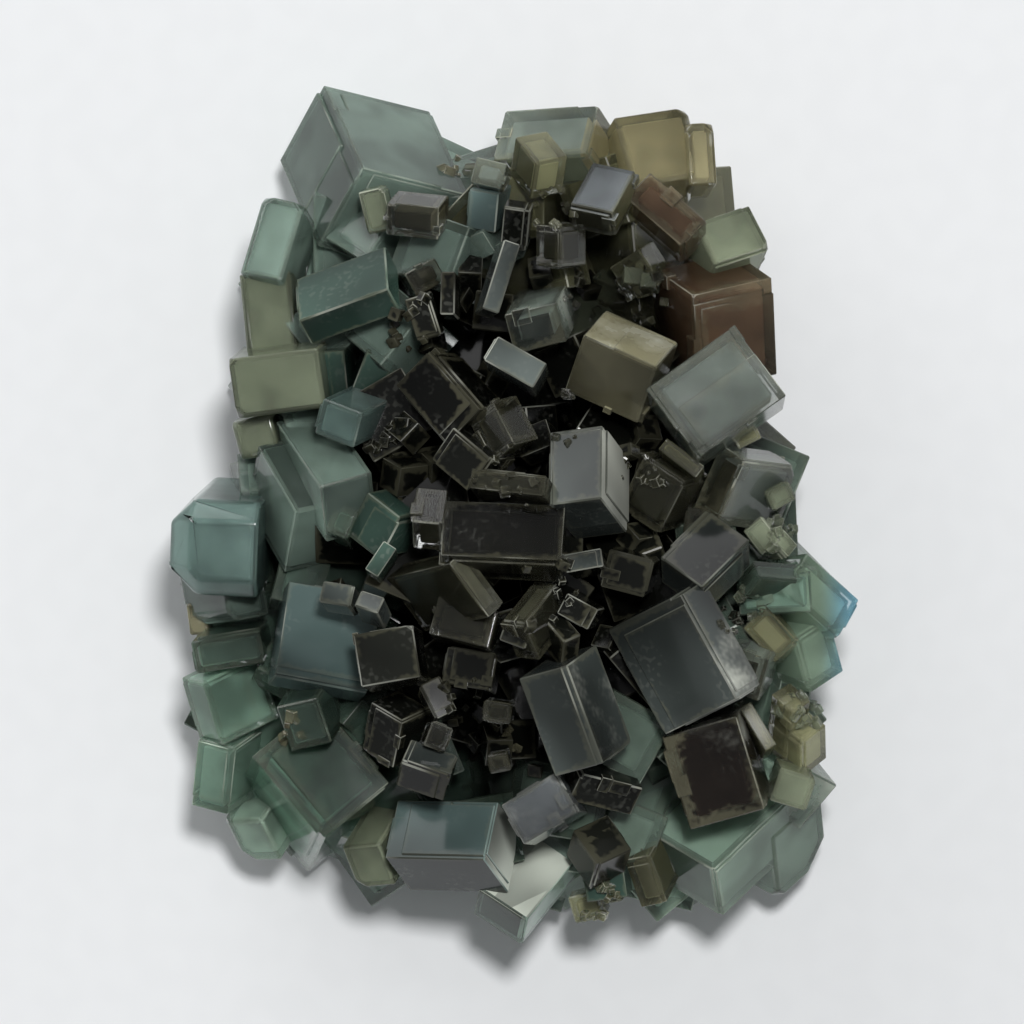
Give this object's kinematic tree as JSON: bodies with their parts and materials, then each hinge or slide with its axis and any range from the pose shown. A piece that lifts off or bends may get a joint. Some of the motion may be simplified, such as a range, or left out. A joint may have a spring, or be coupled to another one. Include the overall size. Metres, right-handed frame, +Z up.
{
  "type": "fluorite crystal cluster",
  "caption": "Flat-lying cluster of intergrown fluorite cubes, pale sea-green round the rim and smoky in the middle, cut flat underneath so that it rests on a shelf.",
  "frame": {"origin": "on the cut face, under the middle of the cluster's outline", "axes": "+Y along the cluster's length to the end with the largest crystal, +Z up out of the cut face"},
  "size_m": [0.0882, 0.11, 0.0485],
  "materials": {
    "fluorite": "natural glassy crystal faces"
  },
  "bodies": {
    "root": {"crystal_cluster": "fluorite"}
  },
  "joints": []
}
